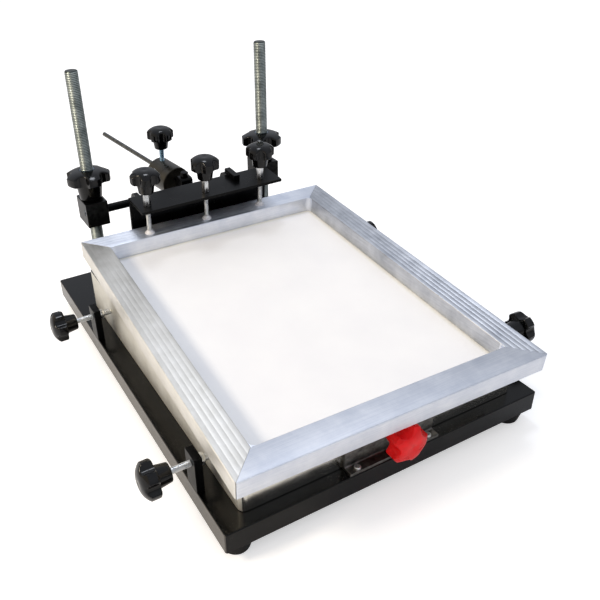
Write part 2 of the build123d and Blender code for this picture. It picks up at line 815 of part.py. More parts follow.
nodes["hinge_shaft"] = hinge_shaft()
nodes["hinge_arms"] = [hinge_arm(x) for x in hinge_arm_places]
nodes["clamp_channel"] = clamp_channel()
nodes["clamp_nuts"] = [clamp_nut(x) for x in clamp_places()]
for place_name, x in zip(("left", "middle", "right"), clamp_places()):
    nodes[f"{place_name}_clamp_foot"] = clamp_foot(x)
    nodes[f"{place_name}_clamp_screw"] = clamp_screw(x)
    nodes[f"{place_name}_clamp_knob"] = clamp_knob(x)
nodes["stop_bar"] = stop_bar()
nodes.update(frame_rails())
nodes["screen_mesh"] = screen_mesh()

nodes["rod_holder"] = rod_holder()
nodes["holder_bolt"] = holder_bolt()
nodes["weight_rod"] = weight_rod()
nodes["counterweight"] = counterweight()
nodes["weight_screw"] = weight_screw()
nodes["weight_knob"] = weight_knob()

for name, shape in nodes.items():
    solid = Compound(children=shape) if isinstance(shape, list) else shape
    export_step(solid, f"parts/{name}.step")
print(len(nodes), "nodes written")
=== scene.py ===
import json
import math

import bmesh
import bpy
from mathutils import Matrix, Vector

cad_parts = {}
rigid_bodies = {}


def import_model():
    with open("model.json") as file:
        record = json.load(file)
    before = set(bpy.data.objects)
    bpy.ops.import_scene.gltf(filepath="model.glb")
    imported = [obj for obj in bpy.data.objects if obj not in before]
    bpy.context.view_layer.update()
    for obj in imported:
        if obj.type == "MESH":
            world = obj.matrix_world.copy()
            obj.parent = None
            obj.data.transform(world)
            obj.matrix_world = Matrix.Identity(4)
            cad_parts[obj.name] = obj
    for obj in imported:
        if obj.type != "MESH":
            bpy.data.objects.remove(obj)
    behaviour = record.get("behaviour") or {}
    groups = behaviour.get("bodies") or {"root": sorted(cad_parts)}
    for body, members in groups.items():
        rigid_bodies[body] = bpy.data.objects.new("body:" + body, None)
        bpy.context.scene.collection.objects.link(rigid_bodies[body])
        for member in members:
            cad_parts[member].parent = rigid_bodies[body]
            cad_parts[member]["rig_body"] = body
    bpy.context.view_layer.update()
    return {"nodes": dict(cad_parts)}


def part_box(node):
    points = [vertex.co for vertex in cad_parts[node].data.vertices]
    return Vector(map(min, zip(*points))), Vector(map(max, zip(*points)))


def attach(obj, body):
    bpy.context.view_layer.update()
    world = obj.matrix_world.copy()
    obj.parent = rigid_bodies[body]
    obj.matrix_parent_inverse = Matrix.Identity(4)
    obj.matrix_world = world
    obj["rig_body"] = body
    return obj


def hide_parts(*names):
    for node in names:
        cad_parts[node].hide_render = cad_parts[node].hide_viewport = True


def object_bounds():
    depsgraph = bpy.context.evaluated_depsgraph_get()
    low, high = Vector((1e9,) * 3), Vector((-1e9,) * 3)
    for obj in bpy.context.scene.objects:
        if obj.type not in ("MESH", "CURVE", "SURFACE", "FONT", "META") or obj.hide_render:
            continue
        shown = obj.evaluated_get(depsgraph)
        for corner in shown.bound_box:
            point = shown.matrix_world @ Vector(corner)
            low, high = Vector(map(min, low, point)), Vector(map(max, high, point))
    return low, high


# Tabletop screen printing press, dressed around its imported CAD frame.
# X is the operator's right, Y runs from the operator to the columns, Z is up.
# The origin is the middle of the platform's top. Settings are in millimetres.

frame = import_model()
nodes = frame["nodes"]
print("frame loaded,", len(nodes), "nodes")


def mm(*values):
    return Vector([value / 1000 for value in values])


def linear(hexColor):
    # sRGB hex to the linear colour that sockets take
    channels = []
    for start in (1, 3, 5):
        value = int(hexColor[start:start + 2], 16) / 255
        channels.append(value / 12.92 if value <= 0.04045 else ((value + 0.055) / 1.055) ** 2.4)
    return (*channels, 1.0)


def addNode(tree, kind, inputs=None, stops=(), **settings):
    # inputs takes a plain value, or another node's output to link; stops are (place, hex colour) pairs
    made = tree.nodes.new(kind)
    for key, value in settings.items():
        setattr(made, key, value)
    for key, value in (inputs or {}).items():
        if isinstance(value, bpy.types.NodeSocket):
            tree.links.new(value, made.inputs[key])
        else:
            made.inputs[key].default_value = value
    for number, (position, hexColor) in enumerate(stops):
        elements = made.color_ramp.elements
        element = elements[number] if number < len(elements) else elements.new(position)
        element.position = position
        element.color = linear(hexColor)
    return made


def makeMaterial(name, dress):
    # dress(tree, place) adds the pattern and returns what the Principled surface's sockets take
    material = bpy.data.materials.new(name)
    material.use_nodes = True
    tree = material.node_tree
    tree.nodes.clear()
    place = addNode(tree, "ShaderNodeTexCoord").outputs["Object"]
    shader = addNode(tree, "ShaderNodeBsdfPrincipled", dress(tree, place))
    addNode(tree, "ShaderNodeOutputMaterial", {"Surface": shader.outputs["BSDF"]})
    return material


# Sizes in the notes below are real ones; a noise scale is one over its grain in metres.

def stovedEnamel(name, deep, specular):
    # stoved gloss black enamel on folded steel: deep black, a slight orange peel, dust in patches
    look = {"peel": 1.6, "dust": 1.2, "smear": 70.0}

    def dress(tree, place):
        peel = addNode(tree, "ShaderNodeTexNoise", {"Vector": place, "Scale": 1000 / look["peel"], "Detail": 2.0})
        bump = addNode(tree, "ShaderNodeBump", {"Height": peel.outputs["Fac"], "Strength": 0.2, "Distance": 0.00002})
        smear = addNode(tree, "ShaderNodeTexNoise", {"Vector": place, "Scale": 1000 / look["smear"], "Detail": 5.0})
        dust = addNode(tree, "ShaderNodeTexNoise", {"Vector": place, "Scale": 1000 / look["dust"], "Detail": 1.0})
        specks = addNode(tree, "ShaderNodeMapRange", {"Value": dust.outputs["Fac"], "From Min": 0.68,
                                                      "From Max": 0.74})
        patches = addNode(tree, "ShaderNodeMapRange", {"Value": smear.outputs["Fac"], "From Min": 0.48,
                                                       "From Max": 0.66})
        dusty = addNode(tree, "ShaderNodeMath", {0: specks.outputs["Result"], 1: patches.outputs["Result"]},
                        operation="MULTIPLY")
        color = addNode(tree, "ShaderNodeMix", {"Factor": dusty.outputs["Value"], 6: linear(deep),
                                                7: linear("#6a6862")}, data_type="RGBA")
        rough = addNode(tree, "ShaderNodeMapRange", {"Value": smear.outputs["Fac"], "To Min": 0.1, "To Max": 0.26})
        return {"Base Color": color.outputs[2], "Roughness": rough.outputs["Result"], "IOR": 1.5,
                "Specular IOR Level": specular, "Normal": bump.outputs["Normal"]}
    return makeMaterial(name, dress)


def satinBlackPaint():
    # brushed on satin black over cut bar: soft shine and faint brush marks
    look = {"brush": 0.7, "patch": 25.0}

    def dress(tree, place):
        patch = addNode(tree, "ShaderNodeTexNoise", {"Vector": place, "Scale": 1000 / look["patch"], "Detail": 6.0})
        brush = addNode(tree, "ShaderNodeTexNoise", {"Vector": place, "Scale": 1000 / look["brush"], "Detail": 2.0})
        bump = addNode(tree, "ShaderNodeBump", {"Height": brush.outputs["Fac"], "Strength": 0.2, "Distance": 0.00004})
        color = addNode(tree, "ShaderNodeValToRGB", {"Fac": patch.outputs["Fac"]},
                        stops=((0.3, "#030303"), (0.7, "#08080a")))
        rough = addNode(tree, "ShaderNodeMapRange", {"Value": patch.outputs["Fac"], "To Min": 0.2, "To Max": 0.4})
        return {"Base Color": color.outputs["Color"], "Roughness": rough.outputs["Result"], "IOR": 1.5,
                "Specular IOR Level": 0.1, "Normal": bump.outputs["Normal"]}
    return makeMaterial("satinBlackPaint", dress)


def mouldedPhenolic(name, deep, pale, rough, specular):
    # compression moulded phenolic: glossy, nearly even colour, with the slight sink marks of moulding
    look = {"sink": 12.0, "grit": 0.5}

    def dress(tree, place):
        sink = addNode(tree, "ShaderNodeTexNoise", {"Vector": place, "Scale": 1000 / look["sink"], "Detail": 2.0})
        grit = addNode(tree, "ShaderNodeTexNoise", {"Vector": place, "Scale": 1000 / look["grit"], "Detail": 1.0})
        wide = addNode(tree, "ShaderNodeBump", {"Height": sink.outputs["Fac"], "Strength": 0.3, "Distance": 0.0004})
        fine = addNode(tree, "ShaderNodeBump", {"Height": grit.outputs["Fac"], "Strength": 0.1,
                                                "Distance": 0.00002, "Normal": wide.outputs["Normal"]})
        color = addNode(tree, "ShaderNodeValToRGB", {"Fac": sink.outputs["Fac"]}, stops=((0.3, deep), (0.7, pale)))
        gloss = addNode(tree, "ShaderNodeMapRange", {"Value": sink.outputs["Fac"], "To Min": rough - 0.05,
                                                     "To Max": rough + 0.07})
        return {"Base Color": color.outputs["Color"], "Roughness": gloss.outputs["Result"], "IOR": 1.5,
                "Specular IOR Level": specular, "Normal": fine.outputs["Normal"]}
    return makeMaterial(name, dress)


def platedSteel(name, deep, pale, rough):
    # zinc plated or ground steel: silver with faint cloudy patches and a fine grain
    look = {"patch": 7.0, "grain": 0.6}

    def dress(tree, place):
        patch = addNode(tree, "ShaderNodeTexNoise", {"Vector": place, "Scale": 1000 / look["patch"], "Detail": 5.0})
        grain = addNode(tree, "ShaderNodeTexNoise", {"Vector": place, "Scale": 1000 / look["grain"], "Detail": 2.0})
        bump = addNode(tree, "ShaderNodeBump", {"Height": grain.outputs["Fac"], "Strength": 0.15, "Distance": 0.00003})
        color = addNode(tree, "ShaderNodeValToRGB", {"Fac": patch.outputs["Fac"]}, stops=((0.3, deep), (0.7, pale)))
        gloss = addNode(tree, "ShaderNodeMapRange", {"Value": patch.outputs["Fac"], "To Min": rough - 0.08,
                                                     "To Max": rough + 0.1})
        return {"Base Color": color.outputs["Color"], "Metallic": 1.0, "Roughness": gloss.outputs["Result"],
                "Normal": bump.outputs["Normal"]}
    return makeMaterial(name, dress)


def rolledThread(name, axisPoint, radius, depth):
    # rolled and zinc plated column thread: bright crests, and the roots painted dark as shade
    look = {"patch": 14.0}

    def dress(tree, place):
        centred = addNode(tree, "ShaderNodeMapping", {
            "Vector": place, "Location": [-value / 1000 for value in axisPoint], "Scale": (1, 1, 0)})
        reach = addNode(tree, "ShaderNodeVectorMath", {0: centred.outputs["Vector"]}, operation="LENGTH")
        # mask from root to crest: the roots take the dark colour as painted shade, the crests the brighter plated
        # colour
        crest = addNode(tree, "ShaderNodeMapRange", {
            "Value": reach.outputs["Value"], "From Min": (radius - depth) / 1000,
            "From Max": (radius - 0.3 * depth) / 1000})
        patch = addNode(tree, "ShaderNodeTexNoise", {"Vector": place, "Scale": 1000 / look["patch"], "Detail": 5.0})
        bright = addNode(tree, "ShaderNodeValToRGB", {"Fac": patch.outputs["Fac"]},
                         stops=((0.3, "#838b89"), (0.7, "#b9c1be")))
        color = addNode(tree, "ShaderNodeMix", {"Factor": crest.outputs["Result"], 6: linear("#3c4341"),
                                                7: bright.outputs["Color"]}, data_type="RGBA")
        gloss = addNode(tree, "ShaderNodeMapRange", {"Value": patch.outputs["Fac"], "To Min": 0.3, "To Max": 0.42})
        return {"Base Color": color.outputs[2], "Metallic": 1.0, "Roughness": gloss.outputs["Result"]}
    return makeMaterial(name, dress)


def extrudedAluminium(name, lineScale, deep, pale):
    # mill finish extrusion: fine die lines along the rail, cloudy handling marks
    look = {"cloud": 32.0}

    def dress(tree, place):
        along = addNode(tree, "ShaderNodeMapping", {"Vector": place, "Scale": lineScale})
        lines = addNode(tree, "ShaderNodeTexNoise", {"Vector": along.outputs["Vector"], "Scale": 1.0, "Detail": 4.0})
        cloud = addNode(tree, "ShaderNodeTexNoise", {"Vector": place, "Scale": 1000 / look["cloud"], "Detail": 7.0,
                                                     "Roughness": 0.62})
        both = addNode(tree, "ShaderNodeMix", {"Factor": 0.35, 2: cloud.outputs["Fac"], 3: lines.outputs["Fac"]},
                       data_type="FLOAT")
        bump = addNode(tree, "ShaderNodeBump", {"Height": lines.outputs["Fac"], "Strength": 0.25, "Distance": 0.00005})
        color = addNode(tree, "ShaderNodeValToRGB", {"Fac": both.outputs[0]}, stops=((0.32, deep), (0.68, pale)))
        gloss = addNode(tree, "ShaderNodeMapRange", {"Value": both.outputs[0], "To Min": 0.34, "To Max": 0.56})
        return {"Base Color": color.outputs["Color"], "Metallic": 1.0, "Roughness": gloss.outputs["Result"],
                "Normal": bump.outputs["Normal"]}
    return makeMaterial(name, dress)


def buffedStainless(name, smooth, rough):
    # buffed stainless sheet: slow waves and cloudy patches mottle its reflections
    look = {"wave": 40.0, "cloud": 26.0}

    def dress(tree, place):
        wave = addNode(tree, "ShaderNodeTexNoise", {"Vector": place, "Scale": 1000 / look["wave"], "Detail": 2.0})
        cloud = addNode(tree, "ShaderNodeTexNoise", {"Vector": place, "Scale": 1000 / look["cloud"], "Detail": 4.0,
                                                     "Roughness": 0.6})
        bump = addNode(tree, "ShaderNodeBump", {"Height": wave.outputs["Fac"], "Strength": 0.4, "Distance": 0.0009})
        color = addNode(tree, "ShaderNodeValToRGB", {"Fac": cloud.outputs["Fac"]},
                        stops=((0.3, "#e6e3d8"), (0.7, "#f4f2ea")))
        gloss = addNode(tree, "ShaderNodeMapRange", {"Value": cloud.outputs["Fac"], "To Min": smooth, "To Max": rough})
        return {"Base Color": color.outputs["Color"], "Metallic": 1.0, "Roughness": gloss.outputs["Result"],
                "Normal": bump.outputs["Normal"]}
    return makeMaterial(name, dress)


def mattRubber():
    # moulded rubber: matt, near black, a little grey with dust
    def dress(tree, place):
        dust = addNode(tree, "ShaderNodeTexNoise", {"Vector": place, "Scale": 1000 / 3.0, "Detail": 6.0})
        bump = addNode(tree, "ShaderNodeBump", {"Height": dust.outputs["Fac"], "Strength": 0.3, "Distance": 0.0001})
        color = addNode(tree, "ShaderNodeValToRGB", {"Fac": dust.outputs["Fac"]},
                        stops=((0.35, "#080808"), (0.75, "#151514")))
        return {"Base Color": color.outputs["Color"], "Roughness": 0.65, "IOR": 1.5, "Specular IOR Level": 0.2,
                "Normal": bump.outputs["Normal"]}
    return makeMaterial("mouldedRubber", dress)


def plyBoard():
    # birch ply core: pale wood with its grain along the platform
    grainScale = (1000 / 2.0, 1000 / 60.0, 1000 / 1.5)

    def dress(tree, place):
        grain = addNode(tree, "ShaderNodeMapping", {"Vector": place, "Scale": grainScale})
        noise = addNode(tree, "ShaderNodeTexNoise", {"Vector": grain.outputs["Vector"], "Scale": 1.0, "Detail": 5.0})
        color = addNode(tree, "ShaderNodeValToRGB", {"Fac": noise.outputs["Fac"]},
                        stops=((0.3, "#b08a5c"), (0.7, "#d9bb8c")))
        return {"Base Color": color.outputs["Color"], "Roughness": 0.6, "IOR": 1.45}
    return makeMaterial("birchPly", dress)


def mouldedPlastic(name, deep, pale):
    # moulded or turned white plastic: waxy, smooth, faintly cloudy
    def dress(tree, place):
        clouds = addNode(tree, "ShaderNodeTexNoise", {"Vector": place, "Scale": 1000 / 4.0, "Detail": 3.0})
        color = addNode(tree, "ShaderNodeValToRGB", {"Fac": clouds.outputs["Fac"]}, stops=((0.3, deep), (0.7, pale)))
        return {"Base Color": color.outputs["Color"], "Roughness": 0.3, "IOR": 1.5}
    return makeMaterial(name, dress)


def turnedSteel():
    # oiled and blackened turned steel: dark face on, bright where it reflects at a slant
    look = {"turning": 0.5, "patch": 18.0}

    def dress(tree, place):
        patch = addNode(tree, "ShaderNodeTexNoise", {"Vector": place, "Scale": 1000 / look["patch"], "Detail": 5.0})
        grain = addNode(tree, "ShaderNodeMapping", {"Vector": place, "Scale": (40, 1000 / look["turning"], 40)})
        rings = addNode(tree, "ShaderNodeTexNoise", {"Vector": grain.outputs["Vector"], "Scale": 1.0, "Detail": 2.0})
        bump = addNode(tree, "ShaderNodeBump", {"Height": rings.outputs["Fac"], "Strength": 0.3, "Distance": 0.00006})
        color = addNode(tree, "ShaderNodeValToRGB", {"Fac": patch.outputs["Fac"]},
                        stops=((0.3, "#24221d"), (0.7, "#423f37")))
        gloss = addNode(tree, "ShaderNodeMapRange", {"Value": patch.outputs["Fac"], "To Min": 0.22, "To Max": 0.36})
        return {"Base Color": color.outputs["Color"], "Metallic": 0.55, "Roughness": gloss.outputs["Result"],
                "Normal": bump.outputs["Normal"]}
    return makeMaterial("blackenedTurnedSteel", dress)


def screenCloth(width, length, rail):
    # white polyester mesh, drawn at 1 mm where the real one has about 0.1 mm threads, so that it shows
    look = {"thread": 1.0, "cloud": 70.0, "glue": 5.0}

    def dress(tree, place):
        uv = addNode(tree, "ShaderNodeTexCoord").outputs["UV"]
        across = addNode(tree, "ShaderNodeTexWave", {"Vector": uv, "Scale": width / look["thread"] / 6.283},
                         bands_direction="X")
        down = addNode(tree, "ShaderNodeTexWave", {"Vector": uv, "Scale": length / look["thread"] / 6.283},
                       bands_direction="Y")
        weave = addNode(tree, "ShaderNodeMath", {0: across.outputs["Fac"], 1: down.outputs["Fac"]},
                        operation="MULTIPLY")
        bump = addNode(tree, "ShaderNodeBump", {"Height": weave.outputs["Value"], "Strength": 0.1,
                                                "Distance": 0.00008})
        cloud = addNode(tree, "ShaderNodeTexNoise", {"Vector": place, "Scale": 1000 / look["cloud"], "Detail": 3.0})
        # distance from the cloth's edge, so that the glued border under the rails shows warmer
        parts = addNode(tree, "ShaderNodeSeparateXYZ", {"Vector": uv})
        edges = []
        for axis, span in (("X", width), ("Y", length)):
            fromMiddle = addNode(tree, "ShaderNodeMath", {0: parts.outputs[axis], 1: 0.5}, operation="SUBTRACT")
            off = addNode(tree, "ShaderNodeMath", {0: fromMiddle.outputs["Value"]}, operation="ABSOLUTE")
            edges.append(addNode(tree, "ShaderNodeMapRange", {
                "Value": off.outputs["Value"], "From Min": 0.5 - (rail + look["glue"]) / span,
                "From Max": 0.5 - rail / span}).outputs["Result"])
        border = addNode(tree, "ShaderNodeMath", {0: edges[0], 1: edges[1]}, operation="MAXIMUM")
        plain = addNode(tree, "ShaderNodeValToRGB", {"Fac": cloud.outputs["Fac"]},
                        stops=((0.3, "#f8f8f9"), (0.7, "#fdfdfd")))
        color = addNode(tree, "ShaderNodeMix", {"Factor": border.outputs["Value"], 6: plain.outputs["Color"],
                                                7: linear("#f0eee6")}, data_type="RGBA")
        return {"Base Color": color.outputs[2], "Roughness": 0.6, "IOR": 1.45, "Sheen Weight": 0.2,
                "Normal": bump.outputs["Normal"]}
    return makeMaterial("polyesterMesh", dress)


enamel = stovedEnamel("stovedEnamelBlack", "#040404", 0.22)
# a lighter warm grey copy of the black enamel for the base's left wall: painted light where the left lamp falls on it
litSideEnamel = stovedEnamel("stovedEnamelLitSide", "#45413b", 0.5)
blackPaint = satinBlackPaint()
phenolic = mouldedPhenolic("mouldedPhenolicBlack", "#030303", "#060607", 0.13, 0.3)
redPhenolic = mouldedPhenolic("mouldedPhenolicRed", "#dc0c10", "#f81c20", 0.28, 0.25)
zinc = platedSteel("brightZincPlate", "#c3c6c8", "#eceded", 0.28)
blueZinc = platedSteel("blueZincPlate", "#8fb0c6", "#c2d8e4", 0.25)
darkZinc = platedSteel("darkenedSteel", "#3f4d5c", "#7d8b99", 0.3)
groundSteel = platedSteel("groundSteelRod", "#4a4b49", "#6d6e6b", 0.18)
stripSteel = platedSteel("hotRolledStrip", "#4c4b49", "#7c7a77", 0.4)
blackedSteel = platedSteel("blackedBlockSteel", "#141414", "#2a2a29", 0.34)
stainless = buffedStainless("buffedStainless", 0.15, 0.21)
brushedStainless = buffedStainless("brushedStainless", 0.48, 0.58)
rubber = mattRubber()
ply = plyBoard()
nylon = mouldedPlastic("naturalNylon", "#e3e2da", "#efeee8")
whiteFoot = mouldedPlastic("whiteAcetal", "#dcdce2", "#f5f5f7")
weightSteel = turnedSteel()

# die lines 0.9 mm apart that run on for 90 mm, along X for the two short rails and along Y for the long ones
dieLine = {"apart": 0.9, "run": 90.0}
acrossLine, alongLine = 1000 / dieLine["apart"], 1000 / dieLine["run"]
# the copies also differ in tint as painted light: the short rails' copy cool as painted sky light, the left rail's
# copy warm as painted light from the left lamp
railAcross = extrudedAluminium("extrudedAluminiumAcross", (alongLine, acrossLine, acrossLine), "#d6dce8", "#f5f8fe")
railAlong = extrudedAluminium("extrudedAluminiumAlong", (acrossLine, alongLine, acrossLine), "#e3e0d7", "#f9f7f2")
# the right rail's copy is darker grey as painted shade
railShaded = extrudedAluminium("extrudedAluminiumShadedSide", (acrossLine, alongLine, acrossLine), "#a4a8af", "#d9dce2")
print("materials ready")


def keepPiece(name, bm, material, body, stands=(), sharp=35.0):
    # turns a bmesh into a smooth shaded piece that rides on a body and stands for CAD nodes
    bmesh.ops.recalc_face_normals(bm, faces=bm.faces)
    mesh = bpy.data.meshes.new(name)
    bm.to_mesh(mesh)
    bm.free()
    mesh.polygons.foreach_set("use_smooth", [True] * len(mesh.polygons))
    mesh.set_sharp_from_angle(angle=math.radians(sharp))
    piece = bpy.data.objects.new(name, mesh)
    bpy.context.scene.collection.objects.link(piece)
    mesh.materials.append(material)
    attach(piece, body)
    if stands:
        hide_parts(*stands)
    return piece


def standFor(nodeName, name, bm, material, sharp=35.0):
    # the piece takes over one CAD node's body
    return keepPiece(name, bm, material, nodes[nodeName]["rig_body"], [nodeName], sharp)


def joinPart(bm, part):
    mesh = bpy.data.meshes.new("part")
    part.to_mesh(mesh)
    part.free()
    bm.from_mesh(mesh)
    bpy.data.meshes.remove(mesh)


def aim(point, direction, turn=0.0):
    # matrix that puts local +Z along direction at a point in mm, turned about it by degrees
    axis = Vector(direction).normalized()
    side = Vector((1, 0, 0)) if abs(axis.x) < 0.9 else Vector((0, 1, 0))
    first = (side - axis * side.dot(axis)).normalized()
    second = axis.cross(first)
    spin = Matrix.Rotation(math.radians(turn), 4, "Z")
    facing = Matrix((first, second, axis)).transposed().to_4x4()
    return Matrix.Translation(mm(*point)) @ facing @ spin


def plainRound(angle, radius):
    return radius


def ringStack(bm, stations, held=plainRound, segments=96, bore=False):
    # rings from (height, radius) stations; held(angle, radius) keeps each point inside an outline
    loop = list(bmesh.ops.create_circle(bm, segments=segments, radius=1.0)["verts"])
    edges = list({edge for vert in loop for edge in vert.link_edges})
    startEdges = edges
    for number, (height, radius) in enumerate(stations):
        if number:
            grown = bmesh.ops.extrude_edge_only(bm, edges=edges)["geom"]
            loop = [item for item in grown if isinstance(item, bmesh.types.BMVert)]
            edges = [item for item in grown if isinstance(item, bmesh.types.BMEdge)]
        for vert in loop:
            angle = math.atan2(vert.co.y, vert.co.x)
            reach = held(angle, radius)
            vert.co = mm(reach * math.cos(angle), reach * math.sin(angle), height)
    if bore:
        bmesh.ops.bridge_loops(bm, edges=startEdges + edges)
    else:
        bmesh.ops.contextual_create(bm, geom=startEdges)
        bmesh.ops.contextual_create(bm, geom=edges)
    return bm


def starHold(radius, fluteRadius, fluteDepth, soft, lobes=5):
    # round flutes; soft is how far their corners and their meeting with the dome are eased
    centre = radius + fluteRadius - fluteDepth

    def held(angle, wanted):
        step = 2 * math.pi / lobes
        off = (angle + step / 2) % step - step / 2
        inside = fluteRadius ** 2 - (centre * math.sin(off)) ** 2
        if inside <= 0:
            return wanted
        flute = centre * math.cos(off) - math.sqrt(inside)
        near = max(0.0, 1 - abs(wanted - flute) / soft)
        return min(wanted, flute) - soft / 4 * near ** 2
    return held


def hexHold(flats):
    def held(angle, wanted):
        off = (angle + math.pi / 6) % (math.pi / 3) - math.pi / 6
        return min(wanted, flats / 2 / math.cos(off))
    return held


def domeStations(radius, rim, top, steps, inner, shoulder):
    # circle arc through the rim, the shoulder point and the top centre
    x1, z1 = radius, rim
    x2, z2 = radius * shoulder, rim + (top - rim) * shoulder
    x3, z3 = 0.0, top
    d = 2 * (x1 * (z2 - z3) + x2 * (z3 - z1) + x3 * (z1 - z2))
    cx = ((x1 ** 2 + z1 ** 2) * (z2 - z3) + (x2 ** 2 + z2 ** 2) * (z3 - z1) + (x3 ** 2 + z3 ** 2) * (z1 - z2)) / d
    cz = ((x1 ** 2 + z1 ** 2) * (x3 - x2) + (x2 ** 2 + z2 ** 2) * (x1 - x3) + (x3 ** 2 + z3 ** 2) * (x2 - x1)) / d
    arc = math.hypot(x1 - cx, z1 - cz)
    start = math.atan2(z1 - cz, x1 - cx)
    end = math.atan2(z3 - cz, x3 - cx)
    points = []
    for number in range(steps + 1):
        angle = start + (end - start) * number / steps
        x = cx + arc * math.cos(angle)
        if x > inner:
            points.append((cz + arc * math.sin(angle), x))
    return points


def threadMesh(spec, length):
    # a real helical thread: one turn of profile, repeated up the bar, cut flat and chamfered at both ends
    bm = bmesh.new()
    crest = spec["diameter"] / 2
    root = crest - spec["depth"]
    pitch = spec["pitch"]
    flat = spec["crest"] / 2
    profile = [bm.verts.new(mm(reach, 0, (share - 1) * pitch))
               for share, reach in ((0.0, root), (0.5 - flat, crest), (0.5 + flat, crest), (1.0, root))]
    line = [bm.edges.new(pair) for pair in zip(profile, profile[1:])]
    steps = spec["steps"]
    bmesh.ops.spin(bm, geom=profile + line, cent=(0, 0, 0), axis=(0, 0, 1), dvec=mm(0, 0, pitch / steps),
                   angle=2 * math.pi, steps=steps, use_merge=False, use_duplicate=False)
    made = 1
    while made < length / pitch + 3:
        copy = bmesh.ops.duplicate(bm, geom=bm.verts[:] + bm.edges[:] + bm.faces[:])["geom"]
        bmesh.ops.translate(bm, verts=[item for item in copy if isinstance(item, bmesh.types.BMVert)],
                            vec=mm(0, 0, made * pitch))
        made *= 2
    bmesh.ops.remove_doubles(bm, verts=bm.verts, dist=0.00002)
    chamfer = spec["chamfer"]
    for height, outward in ((chamfer, -1), (length - chamfer, 1)):
        cut = bmesh.ops.bisect_plane(bm, geom=bm.verts[:] + bm.edges[:] + bm.faces[:], plane_co=mm(0, 0, height),
                                     plane_no=(0, 0, outward), clear_outer=True)["geom_cut"]
        edges = [item for item in cut if isinstance(item, bmesh.types.BMEdge)]
        grown = bmesh.ops.extrude_edge_only(bm, edges=edges)["geom"]
        verts = [item for item in grown if isinstance(item, bmesh.types.BMVert)]
        edges = [item for item in grown if isinstance(item, bmesh.types.BMEdge)]
        for vert in verts:
            reach = min(1.0, (root - 0.3 * chamfer) / 1000 / math.hypot(vert.co.x, vert.co.y))
            vert.co = Vector((vert.co.x * reach, vert.co.y * reach, vert.co.z + outward * chamfer / 1000))
        bmesh.ops.contextual_create(bm, geom=edges)
    return bm


def hexNut(flats, height, bore, chamfer, segments=96):
    # nut from z = 0 up: hexagon with its corners turned off at both ends, and a countersunk bore
    part = bmesh.new()
    face = flats / 2 * 0.97
    widest = face + 2.2 * chamfer
    stations = [(0, bore + 0.5), (0, face), (chamfer, widest), (height - chamfer, widest), (height, face),
                (height, bore + 0.5), (height - 0.5, bore), (0.5, bore)]
    return ringStack(part, stations, hexHold(flats), segments, bore=True)


def starMesh(style, boreRadius=None):
    # five lobed grip: nearly straight hub from z = 0, undercut lobes, thick rim and shallow dome
    hub, radius, foot, neck = style["hub"], style["radius"], style["foot"], style["neck"]
    top = hub + style["head"]
    stations = [(0.0, foot - 1.6), (0.25, foot - 0.8), (0.8, foot - 0.25), (1.6, foot)]
    stations += [(hub - 1.2, neck), (hub - 0.3, neck + 0.35), (hub, neck + 1.2)]
    stations += [(hub, radius - 2.4), (hub + 0.3, radius - 1.2), (hub + 1.0, radius - 0.4), (hub + 2.0, radius)]
    stations += [(hub + style["rim"] * share, radius) for share in (0.5, 0.85)]
    stations += domeStations(radius, hub + style["rim"], top, 20, boreRadius or 0.3, style["shoulder"])
    if boreRadius:
        stations += [(top, boreRadius), (0.0, boreRadius)]
    held = starHold(radius, style["fluteRadius"], style["fluteDepth"], style["soft"])
    return ringStack(bmesh.new(), stations, held, style["segments"], bore=bool(boreRadius))


def easedCopy(nodeName, width, name, material):
    # the CAD node's own shape with its sharp edges eased, so that they catch the light
    bm = bmesh.new()
    bm.from_mesh(nodes[nodeName].data)
    bmesh.ops.remove_doubles(bm, verts=bm.verts, dist=0.00001)
    bmesh.ops.dissolve_limit(bm, angle_limit=math.radians(1), verts=bm.verts, edges=bm.edges)
    sharp = [edge for edge in bm.edges if len(edge.link_faces) == 2 and edge.calc_face_angle() > math.radians(50)]
    bmesh.ops.bevel(bm, geom=sharp, offset=width / 1000, offset_type="OFFSET", segments=2, profile=0.5,
                    affect="EDGES", material=-1, clamp_overlap=True)
    return standFor(nodeName, name, bm, material, sharp=20)


def middleOf(nodeName):
    low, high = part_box(nodeName)
    return (low + high) * 500


columnThread = {"diameter": 20.0, "pitch": 2.5, "depth": 0.95, "crest": 0.3, "steps": 32, "chamfer": 1.5}
for side in ("left", "right"):
    low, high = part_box(side + "_column")
    spot = middleOf(side + "_column")
    bm = threadMesh(columnThread, (high.z - low.z) * 1000)
    bm.transform(Matrix.Translation(mm(spot.x, spot.y, low.z * 1000)))
    material = rolledThread(side + "RolledThread", (spot.x, spot.y, 0.0), columnThread["diameter"] / 2,
                            columnThread["depth"])
    standFor(side + "_column", side + "ThreadedColumn", bm, material, sharp=50)
print("columns threaded")

columnNuts = {"flats": 30.0, "height": 16.0, "bore": 10.2, "chamfer": 1.6, "turns": (12.0, -9.0, 20.0, 3.0)}
bm = bmesh.new()
lowBox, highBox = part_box("column_nuts")
turns = iter(columnNuts["turns"])
for side in ("left", "right"):
    spot = middleOf(side + "_column")
    for z in (lowBox.z * 1000, highBox.z * 1000 - columnNuts["height"]):
        nut = hexNut(columnNuts["flats"], columnNuts["height"], columnNuts["bore"], columnNuts["chamfer"])
        nut.transform(aim((spot.x, spot.y, z), (0, 0, 1), next(turns)))
        joinPart(bm, nut)
standFor("column_nuts", "columnNuts", bm, zinc)

